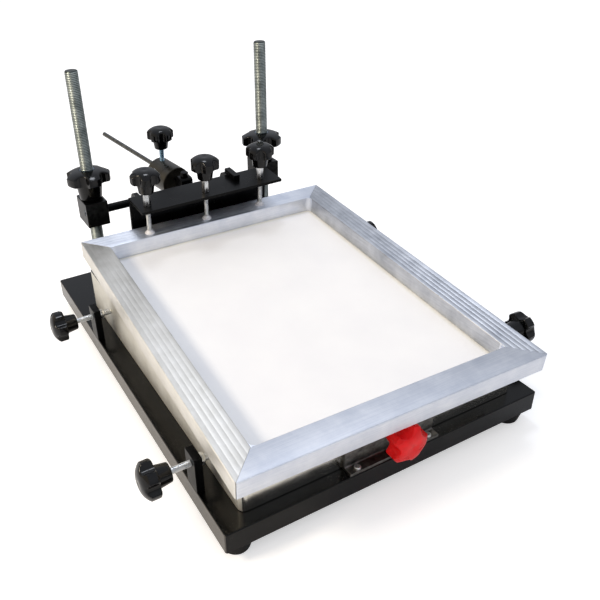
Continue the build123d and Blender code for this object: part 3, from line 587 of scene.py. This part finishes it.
# rubber feet taper down to the bench and are hollow below for their screws
footStyle = {"top": 22.0, "bottom": 17.0, "ease": 1.4, "height": 20.0, "bore": 3.2, "recess": 7.5, "recessDepth": 10.0}
lowBox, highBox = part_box("rubber_feet")
bm = bmesh.new()
for x in (lowBox.x * 1000 + footStyle["top"], highBox.x * 1000 - footStyle["top"]):
    for y in (lowBox.y * 1000 + footStyle["top"], highBox.y * 1000 - footStyle["top"]):
        ease, bottom, tall = footStyle["ease"], footStyle["bottom"], footStyle["height"]
        part = ringStack(bmesh.new(), [
            (0.0, footStyle["recess"]), (0.0, bottom - ease), (0.3 * ease, bottom - 0.3 * ease), (ease, bottom),
            (tall - 2.0, footStyle["top"] - 0.6), (tall, footStyle["top"]), (tall, footStyle["bore"]),
            (footStyle["recessDepth"], footStyle["bore"]), (footStyle["recessDepth"], footStyle["recess"])],
            segments=64, bore=True)
        part.transform(Matrix.Translation(mm(x, y, lowBox.z * 1000)))
        joinPart(bm, part)
standFor("rubber_feet", "rubberFeet", bm, rubber)

# every knob's screw is M8
knobScrew = {"diameter": 8.0, "pitch": 1.25, "depth": 0.6, "crest": 0.26, "steps": 20, "chamfer": 0.8}
knobStyle = {"radius": 22.5, "hub": 17.0, "head": 19.0, "foot": 11.5, "neck": 13.5, "rim": 12.0,
             "fluteRadius": 8.0, "fluteDepth": 5.5, "soft": 2.4, "shoulder": 0.72, "segments": 120}
sideNut = {"flats": 13.0, "height": 6.5, "bore": 4.1, "chamfer": 0.9, "turn": 15.0}
sideKnobTurn = {"left_front": 45.0, "left_rear": 9.0, "right_front": 20.0, "right_rear": 60.0}
sideNuts = bmesh.new()
for name, turn in sideKnobTurn.items():
    side = -1 if name.startswith("left") else 1
    inward = 1 if side < 0 else 0
    screwBox, knobBox, bracketBox = (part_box(name + ending) for ending in ("_screw", "_knob", "_bracket"))
    spot = middleOf(name + "_screw")
    bm = threadMesh(knobScrew, (screwBox[1].x - screwBox[0].x) * 1000)
    bm.transform(aim((screwBox[inward].x * 1000, spot.y, spot.z), (side, 0, 0)))
    standFor(name + "_screw", name + "_sideScrew", bm, zinc)
    bm = starMesh(knobStyle)
    bm.transform(aim((knobBox[inward].x * 1000, spot.y, spot.z), (side, 0, 0), turn))
    standFor(name + "_knob", name + "_starKnob", bm, phenolic)
    nut = hexNut(sideNut["flats"], sideNut["height"], sideNut["bore"], sideNut["chamfer"])
    nut.transform(aim((bracketBox[inward].x * 1000, spot.y, spot.z), (-side, 0, 0), sideNut["turn"]))
    joinPart(sideNuts, nut)
    easedCopy(name + "_bracket", 0.5, name + "_sideBar", blackPaint)
standFor("adjuster_nuts", "sideNuts", sideNuts, zinc)
print("side adjusters done")

lockStyle = dict(knobStyle, radius=25.0, hub=18.0, head=20.0, foot=12.5, neck=15.0, rim=15.0, fluteRadius=11.0,
                 fluteDepth=8.0, shoulder=0.8)
lockTurn = 36.0
spot = middleOf("lock_screw")
screwBox, nutBox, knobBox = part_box("lock_screw"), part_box("lock_nut"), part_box("lock_knob")
bm = threadMesh(knobScrew, (screwBox[1].y - screwBox[0].y) * 1000)
bm.transform(aim((spot.x, screwBox[1].y * 1000, spot.z), (0, -1, 0)))
standFor("lock_screw", "lockScrew", bm, zinc)
nut = hexNut(sideNut["flats"], sideNut["height"], sideNut["bore"], sideNut["chamfer"])
nut.transform(aim((spot.x, nutBox[1].y * 1000, spot.z), (0, -1, 0)))
standFor("lock_nut", "lockNut", nut, zinc)
bm = starMesh(lockStyle)
bm.transform(aim((spot.x, knobBox[1].y * 1000, spot.z), (0, -1, 0), lockTurn))
standFor("lock_knob", "redStarKnob", bm, redPhenolic)
easedCopy("lock_bracket", 0.5, "slottedStrip", stripSteel)
print("front lock done")

starNut = dict(knobStyle, radius=35.0, hub=28.0, head=20.0, foot=17.75, neck=21.0, rim=13.0, fluteRadius=12.0,
               fluteDepth=9.5, soft=3.2, segments=140)
starNutTurn = {"left": 20.0, "right": 50.0}
starNutBore = 12.0
for side, turn in starNutTurn.items():
    spot = middleOf(side + "_column")
    bm = starMesh(starNut, starNutBore)
    bm.transform(aim((spot.x, spot.y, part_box(side + "_nut_grip")[0].z * 1000), (0, 0, 1), turn))
    standFor(side + "_nut_grip", side + "StarNut", bm, phenolic)
print("star nuts done")

# the screen clamp stands in its own plane, tilted about the hinge shaft
clampPlane = {"tilt": 3.72, "shaftY": 308.0, "shaftZ": 67.5}
armPlace = Matrix.Translation(mm(0, clampPlane["shaftY"], clampPlane["shaftZ"])) @ Matrix.Rotation(
    math.radians(clampPlane["tilt"]), 4, "X")


def inClamp(x, y, z, turn=0.0):
    return armPlace @ Matrix.Translation(mm(x, y, z)) @ Matrix.Rotation(math.radians(turn), 4, "Z")


clampScrew = {"x": (-107.0, -10.0, 87.0), "ahead": 99.5, "footBottom": -5.4, "footHeight": 5.5, "nutFoot": 41.5,
              "nutHeight": 21.0, "knobGap": 1.0, "nutTurn": (8.0, 25.0, -10.0), "knobTurn": (0.0, 12.0, 30.0),
              "tipRadius": 2.5, "tipLength": 3.0, "faceGap": 0.3, "intoKnob": 15.0}
longNut = {"flats": 10.0, "bore": 4.1, "chamfer": 0.5}
footShape = [(0.0, 6.1), (0.0, 7.1), (0.35, 7.5), (1.3, 7.5), (1.8, 7.0), (2.4, 5.8), (3.6, 4.8), (5.0, 4.4),
             (5.5, 3.9)]
screwFoot = clampScrew["footBottom"] + clampScrew["footHeight"] + clampScrew["faceGap"]
knobFoot = clampScrew["nutFoot"] + clampScrew["nutHeight"] + clampScrew["knobGap"]
longNuts = bmesh.new()
for name, x, nutTurn, knobTurn in zip(("left", "middle", "right"), clampScrew["x"], clampScrew["nutTurn"],
                                      clampScrew["knobTurn"]):
    y = -clampScrew["ahead"]
    bm = ringStack(bmesh.new(), footShape, segments=64)
    bm.transform(inClamp(x, y, clampScrew["footBottom"]))
    standFor(name + "_clamp_foot", name + "ClampFoot", bm, whiteFoot)
    bm = threadMesh(knobScrew, knobFoot + clampScrew["intoKnob"] - screwFoot)
    bm.transform(inClamp(x, y, screwFoot))
    tip = ringStack(bmesh.new(), [(0.0, clampScrew["tipRadius"] - 0.3), (0.3, clampScrew["tipRadius"]),
                                  (clampScrew["tipLength"] + 0.3, clampScrew["tipRadius"])], segments=32)
    tip.transform(inClamp(x, y, screwFoot - clampScrew["tipLength"]))
    joinPart(bm, tip)
    standFor(name + "_clamp_screw", name + "ClampScrew", bm, zinc)
    bm = starMesh(knobStyle)
    bm.transform(inClamp(x, y, knobFoot, knobTurn))
    standFor(name + "_clamp_knob", name + "ClampKnob", bm, phenolic)
    nut = hexNut(longNut["flats"], clampScrew["nutHeight"], longNut["bore"], longNut["chamfer"])
    nut.transform(inClamp(x, y, clampScrew["nutFoot"], nutTurn))
    joinPart(longNuts, nut)
standFor("clamp_nuts", "longNuts", longNuts, zinc)
easedCopy("clamp_channel", 0.6, "clampChannel", blackPaint)
easedCopy("hinge_arms", 0.6, "hingeArms", blackPaint)
print("clamp done")

screenFrame = {"width": 420.0, "length": 520.0, "rail": 36.0, "height": 24.5, "yaw": -1.2, "behind": 78.5,
               "drop": 5.4}
framePlace = inClamp(0, -screenFrame["behind"], -screenFrame["drop"], screenFrame["yaw"]) @ Matrix.Translation(
    mm(0, -screenFrame["length"] / 2, 0))
railStyle = {"corner": 1.3, "grooveWidth": 1.2, "grooves": (10.5, 3.5, -3.5, -10.5), "seam": 0.5,
             "cornerRadius": 5.0, "cornerCuts": (7.5, 22.5, 37.5)}


def trimEnd(bm, point, normal):
    # cuts a closed mesh at a plane and closes it again; returns the new face
    cut = bmesh.ops.bisect_plane(bm, geom=bm.verts[:] + bm.edges[:] + bm.faces[:], plane_co=mm(*point),
                                 plane_no=normal, clear_outer=True)["geom_cut"]
    edges = [item for item in cut if isinstance(item, bmesh.types.BMEdge)]
    return bmesh.ops.contextual_create(bm, geom=edges)["faces"]


def railMesh(length, grooveDepth):
    # mitred rail along X: outer face at y = 0, inner at -rail, top at z = 0, with rounded grooves in its top
    width, height, corner = screenFrame["rail"], screenFrame["height"], railStyle["corner"]
    points = []
    for cx, cy, start in ((-corner, -corner, 0), (corner - width, -corner, 90),
                          (corner - width, corner - height, 180), (-corner, corner - height, 270)):
        for step in range(4):
            angle = math.radians(start + 30 * step)
            points.append((cx + corner * math.cos(angle), cy + corner * math.sin(angle)))
        if start == 0:
            for middle in railStyle["grooves"] if grooveDepth else ():
                for share, depth in ((0.5, 0.0), (0.3, 0.75), (0.0, 1.0), (-0.3, 0.75), (-0.5, 0.0)):
                    points.append((-width / 2 + middle + share * railStyle["grooveWidth"],
                                   -depth * grooveDepth))
    bm = bmesh.new()
    end = bm.faces.new([bm.verts.new(mm(-length / 2, y, z)) for y, z in points])
    grown = bmesh.ops.extrude_face_region(bm, geom=[end])["geom"]
    bmesh.ops.translate(bm, verts=[item for item in grown if isinstance(item, bmesh.types.BMVert)],
                        vec=mm(length, 0, 0))
    radius = railStyle["cornerRadius"]
    for side in (-1, 1):
        for degrees in railStyle["cornerCuts"]:
            across, ahead = side * math.sin(math.radians(degrees)), math.cos(math.radians(degrees))
            trimEnd(bm, (side * (length / 2 - radius) + radius * across, radius * (ahead - 1), 0), (across, ahead, 0))
        face = trimEnd(bm, (side * length / 2, 0, 0), (side, -1, 0))
        bmesh.ops.bevel(bm, geom=list({edge for item in face for edge in item.edges}),
                        offset=railStyle["seam"] / 1000, offset_type="OFFSET", segments=2, profile=0.5,
                        affect="EDGES", material=-1)
    return bm


for name, turn, offset, length, groove, material in (
        ("rear", 0, screenFrame["length"] / 2, screenFrame["width"], 0.3, railAcross),
        ("front", 180, screenFrame["length"] / 2, screenFrame["width"], 0.0, railAcross),
        ("left", 90, screenFrame["width"] / 2, screenFrame["length"], 0.05, railAlong),
        ("right", -90, screenFrame["width"] / 2, screenFrame["length"], 0.2, railShaded)):
    bm = railMesh(length, groove)
    bm.transform(framePlace @ Matrix.Rotation(math.radians(turn), 4, "Z") @ Matrix.Translation(mm(0, offset, 0)))
    standFor("frame_" + name + "_rail", name + "Rail", bm, material, sharp=30)

# welds fill the four inner corners of the frame
weld = {"radius": 7.0, "below": 0.7, "above": 0.6, "steps": 8, "into": 0.4}
bm = bmesh.new()
for sideX in (-1, 1):
    for sideY in (-1, 1):
        cornerX = sideX * (screenFrame["width"] / 2 - screenFrame["rail"])
        cornerY = sideY * (screenFrame["length"] / 2 - screenFrame["rail"])
        into = weld["into"]
        outline = [(cornerX + sideX * into, cornerY + sideY * into),
                   (cornerX + sideX * into, cornerY - sideY * weld["radius"])]
        for step in range(weld["steps"] + 1):
            angle = math.radians(90 * step / weld["steps"])
            outline.append((cornerX - sideX * weld["radius"] * (1 - math.cos(angle)),
                            cornerY - sideY * weld["radius"] * (1 - math.sin(angle))))
        outline.append((cornerX - sideX * weld["radius"], cornerY + sideY * into))
        face = bm.faces.new([bm.verts.new(mm(x, y, -weld["below"])) for x, y in outline])
        grown = bmesh.ops.extrude_face_region(bm, geom=[face])["geom"]
        bmesh.ops.translate(bm, verts=[item for item in grown if isinstance(item, bmesh.types.BMVert)],
                            vec=mm(0, 0, weld["below"] + weld["above"] - screenFrame["height"]))
bm.transform(framePlace)
keepPiece("cornerWelds", bm, railAcross, nodes["frame_front_rail"]["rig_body"])

cloth = {"inset": 2.0, "thickness": 0.4, "cells": 24}
clothWidth = screenFrame["width"] - 2 * cloth["inset"]
clothLength = screenFrame["length"] - 2 * cloth["inset"]
bm = bmesh.new()
bmesh.ops.create_grid(bm, x_segments=cloth["cells"], y_segments=cloth["cells"], size=0.5, calc_uvs=False)
uvLayer = bm.loops.layers.uv.new("clothUv")
for face in bm.faces:
    for loop in face.loops:
        loop[uvLayer].uv = (loop.vert.co.x + 0.5, loop.vert.co.y + 0.5)
bmesh.ops.scale(bm, vec=(clothWidth / 1000, clothLength / 1000, 1), verts=bm.verts)
bmesh.ops.solidify(bm, geom=bm.faces[:] + bm.edges[:] + bm.verts[:], thickness=cloth["thickness"] / 1000)
underside = min(vert.co.z for vert in bm.verts)
bmesh.ops.translate(bm, verts=bm.verts,
                    vec=(0, 0, -(screenFrame["height"] + cloth["thickness"]) / 1000 - underside))
bm.transform(framePlace)
meshCloth = standFor("screen_mesh", "stretchedMesh", bm, screenCloth(clothWidth, clothLength, screenFrame["rail"]))
print("screen frame done")

weightPiece = {"holderX": -2.0, "rodHeight": 11.5, "yaw": 9.5, "screwPlace": 68.0, "knobHeight": 41.5, "tip": 4.3,
               "turn": 30.0}
screwPlace = inClamp(weightPiece["holderX"], 0, weightPiece["rodHeight"], weightPiece["yaw"]) @ Matrix.Translation(
    mm(0, weightPiece["screwPlace"], 0))
bm = threadMesh(knobScrew, weightPiece["knobHeight"] + clampScrew["intoKnob"] - weightPiece["tip"])
bm.transform(screwPlace @ Matrix.Translation(mm(0, 0, weightPiece["tip"])))
standFor("weight_screw", "weightScrew", bm, blueZinc)
bm = starMesh(knobStyle)
bm.transform(screwPlace @ Matrix.Translation(mm(0, 0, weightPiece["knobHeight"])) @ Matrix.Rotation(
    math.radians(weightPiece["turn"]), 4, "Z"))
standFor("weight_knob", "weightKnob", bm, phenolic)

holderBolt = {"radius": 3.0, "tip": 15.5, "head": 24.3, "flats": 12.0, "headHeight": 8.0, "turn": 20.0}
face = holderBolt["flats"] / 2 * 0.97
top = holderBolt["head"] + holderBolt["headHeight"]
shank = holderBolt["radius"]
stations = [(holderBolt["tip"], shank - 0.5), (holderBolt["tip"] + 0.5, shank), (holderBolt["head"], shank),
            (holderBolt["head"], face + 2.0), (top - 1.0, face + 2.0), (top, face)]
bm = ringStack(bmesh.new(), stations, hexHold(holderBolt["flats"]))
bm.transform(inClamp(weightPiece["holderX"], 0, 0, holderBolt["turn"]))
standFor("holder_bolt", "holderBolt", bm, blackPaint)
easedCopy("rod_holder", 0.5, "rodHolder", blackPaint)
print("counterweight done")

# the CAD shapes that stay, and what each is finished in
finishes = {
    "base_tray": enamel,
    "foot_screws": zinc,
    "platform_shell": stainless,
    "platform_core": ply,
    "corner_glides": nylon,
    "lock_bracket_screws": zinc,
    "column_washers": zinc,
    "left_hinge_block": blackedSteel,
    "right_hinge_block": blackedSteel,
    "block_set_screws": darkZinc,
    "left_nut_sleeve": darkZinc,
    "right_nut_sleeve": darkZinc,
    "hinge_shaft": blackPaint,
    "stop_bar": blackPaint,
    "weight_rod": groundSteel,
    "counterweight": weightSteel,
}
for name, material in finishes.items():
    mesh = nodes[name].data
    mesh.materials.clear()
    mesh.materials.append(material)
# the platform's two long walls are brushed, and the base's left wall is painted a lighter warm grey as painted light
# from the left lamp
for name, material, sides in (("platform_shell", brushedStainless, (-1, 1)), ("base_tray", litSideEnamel, (-1,))):
    mesh = nodes[name].data
    mesh.materials.append(material)
    for face in mesh.polygons:
        face.material_index = 1 if any(side * face.normal.x > 0.6 for side in sides) else 0
print("finishes set")

stageStyle = {"floor": "#f4f4f4", "halfSize": 12.0, "gap": 0.0002, "lift": 0.45}
low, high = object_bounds()
bm = bmesh.new()
bmesh.ops.create_grid(bm, x_segments=1, y_segments=1, size=stageStyle["halfSize"])
bmesh.ops.translate(bm, verts=bm.verts, vec=(0, 0, low.z - stageStyle["gap"]))
mesh = bpy.data.meshes.new("floor")
bm.to_mesh(mesh)
bm.free()
floor = bpy.data.objects.new("floor", mesh)
bpy.context.scene.collection.objects.link(floor)
floorPaper = bpy.data.materials.new("paleStudioFloor")
floorPaper.use_nodes = True
tree = floorPaper.node_tree
tree.nodes.clear()
plain = addNode(tree, "ShaderNodeBsdfDiffuse", {"Color": linear(stageStyle["floor"])})
glow = addNode(tree, "ShaderNodeEmission", {"Color": (1, 1, 1, 1), "Strength": stageStyle["lift"]})
rays = addNode(tree, "ShaderNodeLightPath")
lit = addNode(tree, "ShaderNodeAddShader", {0: plain.outputs["BSDF"], 1: glow.outputs["Emission"]})
mixed = addNode(tree, "ShaderNodeMixShader", {"Fac": rays.outputs["Is Camera Ray"], 1: plain.outputs["BSDF"],
                                              2: lit.outputs["Shader"]})
addNode(tree, "ShaderNodeOutputMaterial", {"Surface": mixed.outputs["Shader"]})
mesh.materials.append(floorPaper)

# studio light by direction: a warm wall of light at the left, a blue white ceiling, a dim room to the right
skyStyle = {"strength": 0.82, "stops": ((0.0, "#a9a8a8"), (0.4, "#e2e7f1"), (0.62, "#f1f5ff"), (1.0, "#e6ecf8")),
            "wall": "#fff0dc", "wallFrom": -0.25, "wallTo": -0.7, "dimFrom": 0.6, "dimTo": 0.95, "dim": 0.45}
world = bpy.data.worlds.new("studio")
bpy.context.scene.world = world
world.use_nodes = True
tree = world.node_tree
tree.nodes.clear()
rays = addNode(tree, "ShaderNodeLightPath")
direction = addNode(tree, "ShaderNodeTexCoord").outputs["Generated"]
parts = addNode(tree, "ShaderNodeSeparateXYZ", {"Vector": direction})
sky = addNode(tree, "ShaderNodeValToRGB", {"Fac": parts.outputs["Z"]}, stops=skyStyle["stops"])
wall = addNode(tree, "ShaderNodeMapRange", {"Value": parts.outputs["X"], "From Min": skyStyle["wallFrom"],
                                            "From Max": skyStyle["wallTo"]})
walled = addNode(tree, "ShaderNodeMix", {"Factor": wall.outputs["Result"], 6: sky.outputs["Color"],
                                         7: linear(skyStyle["wall"])}, data_type="RGBA")
dim = addNode(tree, "ShaderNodeMapRange", {"Value": parts.outputs["X"], "From Min": skyStyle["dimFrom"],
                                           "From Max": skyStyle["dimTo"], "To Min": skyStyle["strength"],
                                           "To Max": skyStyle["strength"] * skyStyle["dim"]})
soft = addNode(tree, "ShaderNodeBackground", {"Color": walled.outputs[2], "Strength": dim.outputs["Result"]})
white = addNode(tree, "ShaderNodeBackground", {"Color": (1, 1, 1, 1), "Strength": 1.0})
mixed = addNode(tree, "ShaderNodeMixShader", {"Fac": rays.outputs["Is Camera Ray"], 1: soft.outputs["Background"],
                                              2: white.outputs["Background"]})
addNode(tree, "ShaderNodeOutputWorld", {"Surface": mixed.outputs["Shader"]})

lamps = {
    "leftKey": {"at": (-1.9, 0.1, 1.5), "size": 0.5, "power": 24.0, "color": "#fff1dc"},
    "topSoft": {"at": (0.3, 0.8, 2.6), "size": 0.5, "power": 10.0, "color": "#f2f6ff"},
}
for name, lamp in lamps.items():
    data = bpy.data.lights.new(name, "AREA")
    data.size = lamp["size"]
    data.energy = lamp["power"]
    data.color = linear(lamp["color"])[:3]
    light = bpy.data.objects.new(name, data)
    light.location = lamp["at"]
    light.rotation_mode = "QUATERNION"
    light.rotation_quaternion = (Vector((0, 0, 0)) - Vector(lamp["at"])).to_track_quat("-Z", "Y")
    bpy.context.scene.collection.objects.link(light)

cameraStyle = {"at": (-0.42538, -0.71939, 0.53375), "turn": (58.7048, 1.9481, -28.7625), "lens": 41.929,
               "shift": (0.08629, -0.01562)}
cameraData = bpy.data.cameras.new("photoView")
cameraData.lens = cameraStyle["lens"]
cameraData.sensor_width = 36.0
cameraData.shift_x, cameraData.shift_y = cameraStyle["shift"]
cameraData.clip_start = 0.01
camera = bpy.data.objects.new("photoView", cameraData)
camera.location = cameraStyle["at"]
camera.rotation_euler = [math.radians(angle) for angle in cameraStyle["turn"]]
bpy.context.scene.collection.objects.link(camera)
bpy.context.scene.camera = camera
bpy.context.scene.view_settings.view_transform = "Standard"
print("stage set")
